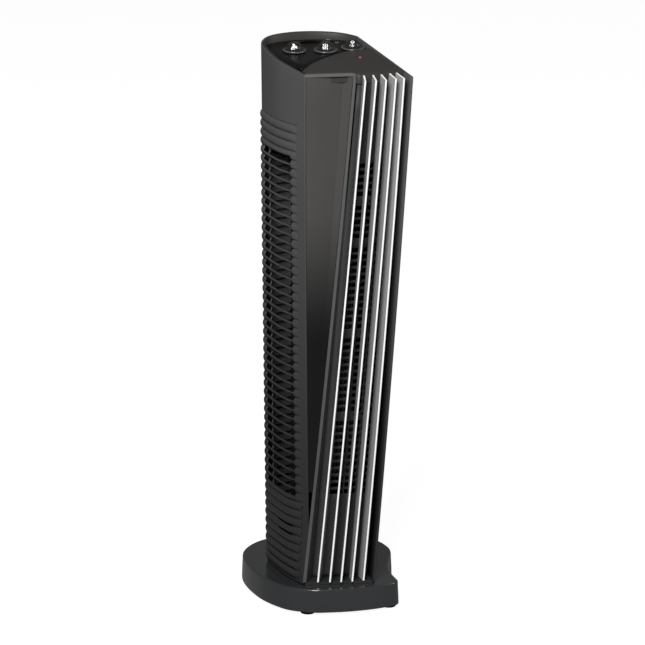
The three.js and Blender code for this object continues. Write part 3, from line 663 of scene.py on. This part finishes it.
def blade(number, shape):
    """A twisted slat: a flat section with rounded edges moved up the front edge's curve and cut on the
    slope."""
    z = np.linspace(BLADE_FOOT, BLADE_HEAD, 64)
    front, along, side = blade_frame(shape, z)
    r = BLADE_THICKNESS / 2
    turn = np.linspace(-np.pi / 2, np.pi / 2, 7)
    tail = [(4.0, r), (8.0, r), (14.0, r), (20.0, r), (BLADE_DEPTH - 0.4, r), (BLADE_DEPTH, r - 0.4),
            (BLADE_DEPTH, 0.4 - r), (BLADE_DEPTH - 0.4, -r), (20.0, -r), (14.0, -r), (8.0, -r), (4.0, -r)]
    nose = [(r * 0.8 - r * 0.8 * math.cos(q), r * math.sin(q)) for q in turn]
    section = nose + tail
    rings = np.stack([points(*(front + along * d + side * w).T, z) for d, w in section], axis=1)
    rings = sloped(rings, lambda y: top_at(y) + 0.35)
    n, levels = len(section), len(z)
    body = quads(levels, n, wrap_cols=True)
    # The front-edge faces (the first six of each ring) and the top cap take the second coat, a near-white
    # glowing painted highlight.
    edge = np.zeros(body.shape[:2], int)
    edge[:, :6] = 1
    faces = body.reshape(-1, 4).tolist() + [list(range(n))[::-1], list(range((levels - 1) * n, levels * n))]
    o = make(f"blade_slat_{number}", rings, faces, sharp=40,
             **{**looks("silver_blade", [f"blade_{number}"]),
                "material": [COATS["silver_blade"], COATS["painted_edge_highlight"]]})
    o.data.polygons.foreach_set("material_index", np.concatenate([edge.ravel(), [0, 1]]).astype(np.int32))


for number, shape in enumerate(BLADES, 1):
    blade(number, shape)

# ---- outlet panel ----
CROSSBARS = [276.0, 396.0, 520.0, 582.0]


def outlet():
    """The slatted wall behind the blades: a ruled sheet with rows at every slat, where the open bays have
    no faces."""
    z = [39.4, 45, 60, 90, 120, 150]
    bays = []
    for k in range(48):
        low = 160 + k * 10.0
        if all(abs(c - low - 3.5) > 6 for c in CROSSBARS):
            bays.append(len(z))
            z += [low, low + 6.6]
        else:
            z += [low, low + 6.6]
    z += [642, 655, 680, 710, 748.5]
    z = np.array(z)
    a, b = panel_left(z), panel_right(z)
    t = (z - 160) / 482.0
    left = np.maximum(mix(-21.5, 10.0, t), a[:, 0] + 5)
    right = mix(31.5, 62.0, t)
    share = lambda x: (x - a[:, 0]) / (b[:, 0] - a[:, 0])
    columns = [0 * z, 0.5 * share(left), share(left), mix(share(left), share(right), 0.34),
               mix(share(left), share(right), 0.38), mix(share(left), share(right), 0.67),
               mix(share(left), share(right), 0.71), share(right), mix(share(right), 1, 0.5), 0 * z + 1]
    u = np.stack(columns, axis=1)
    plan = mix(a[:, None], b[:, None], u[..., None])
    faces = quads(*u.shape)
    keep = np.ones(faces.shape[:2], bool)
    for r in bays:
        for c in (2, 4, 6):
            keep[r, c] = False
    make("outlet_grille", points(plan[..., 0], plan[..., 1], z[:, None]), faces[keep].reshape(-1, 4).tolist(),
         **looks("inner_black", ["outlet_panel"], shell=3.0, material=COATS["panel_grey"]))


def pegs():
    """Short pegs from the crossbars to the blades: a rounded square section moved straight back from each
    blade."""
    vertices, faces = [], []
    for z in CROSSBARS:
        for shape in BLADES:
            front, along, side = (v[0] for v in blade_frame(shape, np.array([z])))
            start = front + along * (BLADE_DEPTH + 0.5)
            a, b = panel_left(z), panel_right(z)
            slope = (b[1] - a[1]) / (b[0] - a[0])
            reach = (a[1] + slope * (start[0] - a[0]) - start[1]) / (along[1] - slope * along[0]) + 1
            q = np.linspace(0, 2 * np.pi, 12, endpoint=False)
            for d in (0.0, reach):
                centre = start + along * d
                ring = points(centre[0] + side[0] * 1.8 * np.cos(q), centre[1] + side[1] * 1.8 * np.cos(q),
                              z + 2 * np.sin(q))
                vertices.append(ring)
            n = (len(vertices) - 2) * 12
            faces += (quads(2, 12, wrap_cols=True).reshape(-1, 4) + n).tolist()
            faces += [list(range(n, n + 12))[::-1], list(range(n + 12, n + 24))]
    make("grille_pegs", np.concatenate(vertices), faces, **looks("inner_black", ["outlet_panel"]))


outlet()
pegs()

# ---- top: brow, rim, deck, grip and printed marks ----
RIDGE = [[-61.5, -124], [-40, -99], [-14, -80], [11, -66], [29, -58.5], [45, -56], [59.2, -55]]
CAP_FRONT = [[-59, -134.6], [3.8, -141.8], [11.2, -150.8], [40, -151.6], [77.5, -149.2]]
GRIP = [[-30, 3], [-20, -1.5], [-6, -3], [8, -2], [18, 1], [25, 5.5], [16, 11.5], [2, 15.5], [-14, 15.8],
        [-28, 11]]


def brow():
    """The sloping front of the top: sections from the foot of the ridge over its rounded edge and down to
    the front lip, moved along the ridge and the front line together."""
    u = np.linspace(0, 1, 60)
    ridge = catmull(RIDGE, u * 6)
    s = np.interp(u, [0, 0.42, 0.48, 0.72, 1], [0, 1, 2, 3, 4])
    i = np.clip(s.astype(int), 0, 3)
    k = np.asarray(CAP_FRONT, float)
    front = mix(k[i], k[i + 1], (s - i)[:, None])
    steps = [(0.0, -13.0), (0.0, -0.7), (0.006, -0.2), (0.02, 0.0), (0.25, 0.0), (0.5, 0.0), (0.75, 0.0),
             (0.97, 0.0), (0.992, -0.25), (1.0, -0.9), (1.0, -13.7), (0.97, -13.7), (0.95, -3.2),
             (0.06, -3.2), (0.05, -13.0)]
    rings = []
    for f, h in steps:
        p = mix(ridge, front, f)
        rings.append(points(p[:, 0], p[:, 1], top_at(p[:, 1]) + h))
    rings = np.swapaxes(np.array(rings), 0, 1)
    tube("cap_brow", rings, **looks("brow_black", ["top_cap"], sharp=40))


def inner_wall(inside, count=120):
    """Plan points inside the housing's wall, from the back right corner round to the front left."""
    s = np.linspace(13.0, 0.35, count)
    p = wall_at(s, np.full((1, count), 780.0))[0]
    return p - outward(p, closed=False) * inside


def rim():
    """The raised rim round the deck: a thin rounded section moved along the inside of the wall."""
    p = inner_wall(WALL + 0.2)
    n = outward(p, closed=False)
    section = [(0.0, -8.0), (0.0, -1.2), (0.4, -0.5), (1.0, -0.3), (1.6, -0.5), (2.0, -1.2), (2.0, -12.0)]
    rings = []
    for d, h in section:
        q = p - n * d
        rings.append(points(q[:, 0], q[:, 1], top_at(p[:, 1]) + h))
    rings = np.swapaxes(np.array(rings), 0, 1)
    tube("cap_rim", rings, **looks("brow_black", ["top_cap"], sharp=40))


def star(outline, centre, angles):
    """Distance-wise crossing of a closed outline with rays from a centre, as plan points."""
    p = np.asarray(outline, float) - centre
    a = np.unwrap(np.arctan2(p[:, 1], p[:, 0]))
    if a[-1] < a[0]:
        p, a = p[::-1], a[::-1]
    a = np.concatenate([a - 2 * np.pi, a, a + 2 * np.pi])
    x, y = np.tile(p[:, 0], 3), np.tile(p[:, 1], 3)
    order = np.argsort(a)
    return points(np.interp(angles, a[order], x[order]), np.interp(angles, a[order], y[order])) + centre


def deck():
    """The control deck: a ruled ring from the rim and the ridge in to the lip of the grip, which turns
    down."""
    centre = np.array([-2.0, 6.0])
    edge = np.concatenate([inner_wall(WALL + 2.0)[:-4], catmull(RIDGE, np.linspace(0, 6, 60)) + [0, 0.4]])
    grip = closed_path(GRIP, 120)
    angles = np.linspace(-np.pi, np.pi, 220, endpoint=False)
    outer, inner = star(edge, centre, angles), star(grip, centre, angles)
    rings = []
    for f, h in [(0.0, 0.0), (0.25, 0), (0.5, 0), (0.75, 0), (0.93, 0), (0.97, 0.5), (0.985, 0.6), (1.0, 0.2),
                 (1.0, -3.0)]:
        p = mix(outer, inner, f)
        rings.append(points(p[:, 0], p[:, 1], deck_at(p[:, 1]) + h))
    make("deck_face", np.array(rings), quads(9, 220, wrap_cols=True)[..., :].reshape(-1, 4).tolist(),
         **looks("deck_black", ["control_deck"], shell=2.2, sharp=50))


def grip():
    """The cup under the grip: the slot's outline carried down with a rounded floor, inside and outside."""
    path = closed_path(GRIP, 90)
    top = deck_at(path[:, 1]) - 3.3
    inner = [(0.0, 1.0), (0.0, 0.12), (-0.8, 0.04), (-2.5, 0.0)]
    rings = []
    for d, f in [(2.4, 0.0), (2.5, 0.02), (2.5, 1.0)]:
        q = grow(path, d)
        rings.append(points(q[:, 0], q[:, 1], mix(748.0, top, f)))
    for d, f in inner:
        q = grow(path, d)
        rings.append(points(q[:, 0], q[:, 1], mix(750.0, top, f)))
    tube("grip_pocket", np.array(rings), **looks("deck_black", ["grip_cup"]))


brow()
rim()
deck()
grip()


def tilt(local, x, y, lift=0.0):
    """Carries points given about a deck place, z along the deck's normal, to the plan."""
    a = math.atan(DECK_SLOPE)
    c, s = math.cos(a), math.sin(a)
    turned = points(local[..., 0], c * local[..., 1] - s * local[..., 2],
                    s * local[..., 1] + c * local[..., 2])
    return turned + np.array([x, y, deck_at(y) + lift])


KNOB_PROFILE = [(3.4, 0.3), (9.0, 0.2), (15.3, 0.0), (16.1, 0.25), (16.4, 0.8), (16.3, 1.5), (15.8, 2.0),
                (14.9, 2.1), (13.6, 2.3), (12.3, 3.0), (11.3, 4.2), (10.5, 5.7), (9.7, 7.2), (8.8, 8.7),
                (7.7, 10.0), (6.3, 11.0), (4.6, 11.6), (2.6, 11.9), (1.0, 12.0)]
KNOB_BODIES = ["fan_knob", "heat_knob", "thermostat_knob"]


def knob_height(r):
    """Height of the knob's dome at a radius."""
    radius, height = np.array(KNOB_PROFILE[9:]).T
    return np.interp(r, radius[::-1], height[::-1])


def knob(number, x, y):
    """A turned knob: a flared skirt, a waist with shallow flutes and a dome."""
    a = np.linspace(0, 2 * np.pi, 96, endpoint=False)
    profile = catmull(KNOB_PROFILE, np.linspace(0, len(KNOB_PROFILE) - 1, 54))
    rings = []
    for r, z in profile:
        flute = 0.22 * np.clip(1 - abs(z - 6.0) / 3.5, 0, 1) * np.cos(24 * a)
        rings.append(points((r + flute) * np.cos(a), (r + flute) * np.sin(a), z))
    local = np.array(rings)
    o = tube(f"knob_cap_{number}", tilt(local, x, y, 1.0),
             **{**looks("smoke_knob", [f"knob_{number}"], KNOB_BODIES[number - 1]),
                "material": [COATS["smoke_knob"], COATS["knob_rim"]]})
    level = (profile[:-1, 1] + profile[1:, 1]) / 2
    radius = (profile[:-1, 0] + profile[1:, 0]) / 2
    rim_rows = (radius > 15.0) & (level < 2.2)
    index = np.concatenate([np.repeat(rim_rows.astype(int), 96), [0, 0]])
    o.data.polygons.foreach_set("material_index", index.astype(np.int32))


def ribbon(path, width):
    """Left and right edges of a flat ribbon along an open plan path."""
    n = outward(path, closed=False)
    return path - n * width / 2, path + n * width / 2


ICON_TURN = math.radians(-22.0)
ICON_CENTRE = 8.6


def on_dome(u, v):
    """Local plan points of an icon drawn on the dome's front slope, u across it and v up it."""
    x, y = u, -(ICON_CENTRE - 0.62 * v)
    c, s = math.cos(ICON_TURN), math.sin(ICON_TURN)
    return points(c * x - s * y, s * x + c * y)


def decal(name, ribbons, x, y, body, onto, slot="smoke_knob", material="mark_white_painted_glow", wrap=None):
    """Printed marks: ribbons laid on a surface whose height is onto(radius), each with a little thickness.
    wrap carries a flat drawing on to the plan first."""
    vertices, faces, count = [], [], 0
    for path, width in ribbons:
        path = np.asarray(path, float)
        left, right = ribbon(path, width)
        if wrap:
            left, right = wrap(left[:, 0], left[:, 1]), wrap(right[:, 0], right[:, 1])
        corner = []
        for side, lift in ((left, -0.3), (right, -0.3), (right, 0.25), (left, 0.25)):
            corner.append(points(side[:, 0], side[:, 1], onto(np.hypot(side[:, 0], side[:, 1])) + lift))
        ring = np.stack(corner, axis=1)
        n = len(path)
        vertices.append(ring.reshape(-1, 3))
        faces += (quads(n, 4, wrap_cols=True).reshape(-1, 4) + count).tolist()
        faces += [[count, count + 1, count + 2, count + 3][::-1],
                  [count + 4 * (n - 1) + j for j in range(4)]]
        count += 4 * n
    local = np.concatenate(vertices)
    make(name, tilt(local, x, y, 1.0), faces, body=body, slot=slot, material=COATS[material])


def arc(cx, cy, r, a0, a1, n=20):
    a = np.radians(np.linspace(a0, a1, n))
    return points(cx + r * np.cos(a), cy + r * np.sin(a))


def fan_icon():
    """Three curved petals round a hub."""
    out = [(arc(0, 0, 0.7, 0, 360), 1.2)]
    for k in range(3):
        a = math.radians(90 + 120 * k)
        t = np.linspace(0, 1, 12)
        swing = a + 0.5 * t
        out.append((points((1.0 + 3.4 * t) * np.cos(swing), (1.0 + 3.4 * t) * np.sin(swing)), 2.4))
    return out


def heat_icon():
    """Three upright waves."""
    t = np.linspace(-3.8, 3.8, 24)
    return [(points(dx + 0.6 * np.sin(t * 1.5), t), 0.9) for dx in (-2.7, 0.0, 2.7)]


def ring_icon():
    """A ring for the thermostat with a dot under it."""
    return [(arc(0, 2.2, 2.2, 0, 360, 40), 1.0), (arc(1.2, -3.2, 0.4, 0, 360), 0.7)]


ICONS = [fan_icon, heat_icon, ring_icon]
for number, (x, y) in enumerate(KNOB_PLACES, 1):
    knob(number, x, y)
    decal(f"knob_icon_{number}", ICONS[number - 1](), x, y, KNOB_BODIES[number - 1], knob_height,
          wrap=on_dome)


def deck_marks():
    """A plain oval, a tick and a dot printed on the deck's face behind the knobs."""
    flat = lambda r: 0 * r - 0.95
    q = np.linspace(0, 2 * np.pi, 30)
    decal("deck_oval", [(points(2.6 * np.cos(q), 1.6 * np.sin(q)), 1.4)], 21.0, 14.6, ROOT, flat,
          "deck_black", "mark_grey")
    tick = np.array([[-2.6, -1.2], [0.0, 0.0], [2.6, 1.6]])
    decal("deck_tick", [(tick, 1.6)], 27.6, -4.2, ROOT, flat, "deck_black", "mark_grey")
    decal("deck_dot", [(arc(0, 0, 0.4, 0, 360), 0.7)], 18.3, -7.6, ROOT, flat, "deck_black", "mark_grey")


deck_marks()


# ---- stage, light and camera ----
def stage():
    """A pale floor: it looks white to the camera, and throws less light than that up on to the object."""
    mesh = bpy.data.meshes.new("floor")
    size = 60.0
    mesh.from_pydata([(-size, -size, 0), (size, -size, 0), (size, size, 0), (-size, size, 0)], [],
                     [(0, 1, 2, 3)])
    floor = bpy.data.objects.new("floor", mesh)
    bpy.context.scene.collection.objects.link(floor)
    m = bpy.data.materials.new("floor_pale")
    m.use_nodes = True
    n, links = m.node_tree.nodes, m.node_tree.links
    shader = n["Principled BSDF"]
    shader.inputs["Base Color"].default_value = (0.3, 0.3, 0.3, 1)
    shader.inputs["Roughness"].default_value = 0.9
    shader.inputs["Specular IOR Level"].default_value = 0.0
    seen = n.new("ShaderNodeLightPath")
    glow = n.new("ShaderNodeMix")
    glow.data_type = "RGBA"
    glow.inputs[6].default_value = (0.0, 0.0, 0.0, 1)
    glow.inputs[7].default_value = (1.0, 1.0, 1.0, 1)
    links.new(seen.outputs["Is Camera Ray"], glow.inputs[0])
    links.new(glow.outputs[2], shader.inputs["Emission Color"])
    shader.inputs["Emission Strength"].default_value = 0.92
    mesh.materials.append(m)


def lamp(name, azimuth, distance, height, aim, size, power):
    """A square soft light at an azimuth, counted from the front towards the right, aimed at a height."""
    data = bpy.data.lights.new(name, "AREA")
    data.shape = "SQUARE"
    data.size = size
    data.energy = power
    o = bpy.data.objects.new(name, data)
    bpy.context.scene.collection.objects.link(o)
    a = math.radians(azimuth)
    place = Vector((distance * math.sin(a), -distance * math.cos(a), height))
    o.location = place
    o.rotation_euler = (Vector((0, 0, aim)) - place).to_track_quat("-Z", "Y").to_euler()
    o.visible_camera = False
    return o


def lights():
    world = bpy.data.worlds.new("studio")
    world.use_nodes = True
    world.node_tree.nodes["Background"].inputs["Color"].default_value = (1, 1, 1, 1)
    world.node_tree.nodes["Background"].inputs["Strength"].default_value = 0.12
    bpy.context.scene.world = world
    lamp("key", -30, 3.2, 2.6, 0.5, 1.4, 150)
    lamp("side", 62, 3.0, 1.6, 0.5, 1.0, 22)


def camera():
    data = bpy.data.cameras.new("camera")
    data.sensor_width = 36.0
    data.lens = 312.8
    data.clip_end = 200
    o = bpy.data.objects.new("camera", data)
    bpy.context.scene.collection.objects.link(o)
    o.location = ((-2350.2 + SHIFT[0]) / 1000, (-7258.2 + SHIFT[1]) / 1000, (2396.6 + SHIFT[2]) / 1000)
    o.rotation_euler = (math.radians(75.1648), 0, math.radians(-18))
    bpy.context.scene.camera = o


stage()
lights()
camera()
bpy.context.scene.view_settings.view_transform = "Standard"
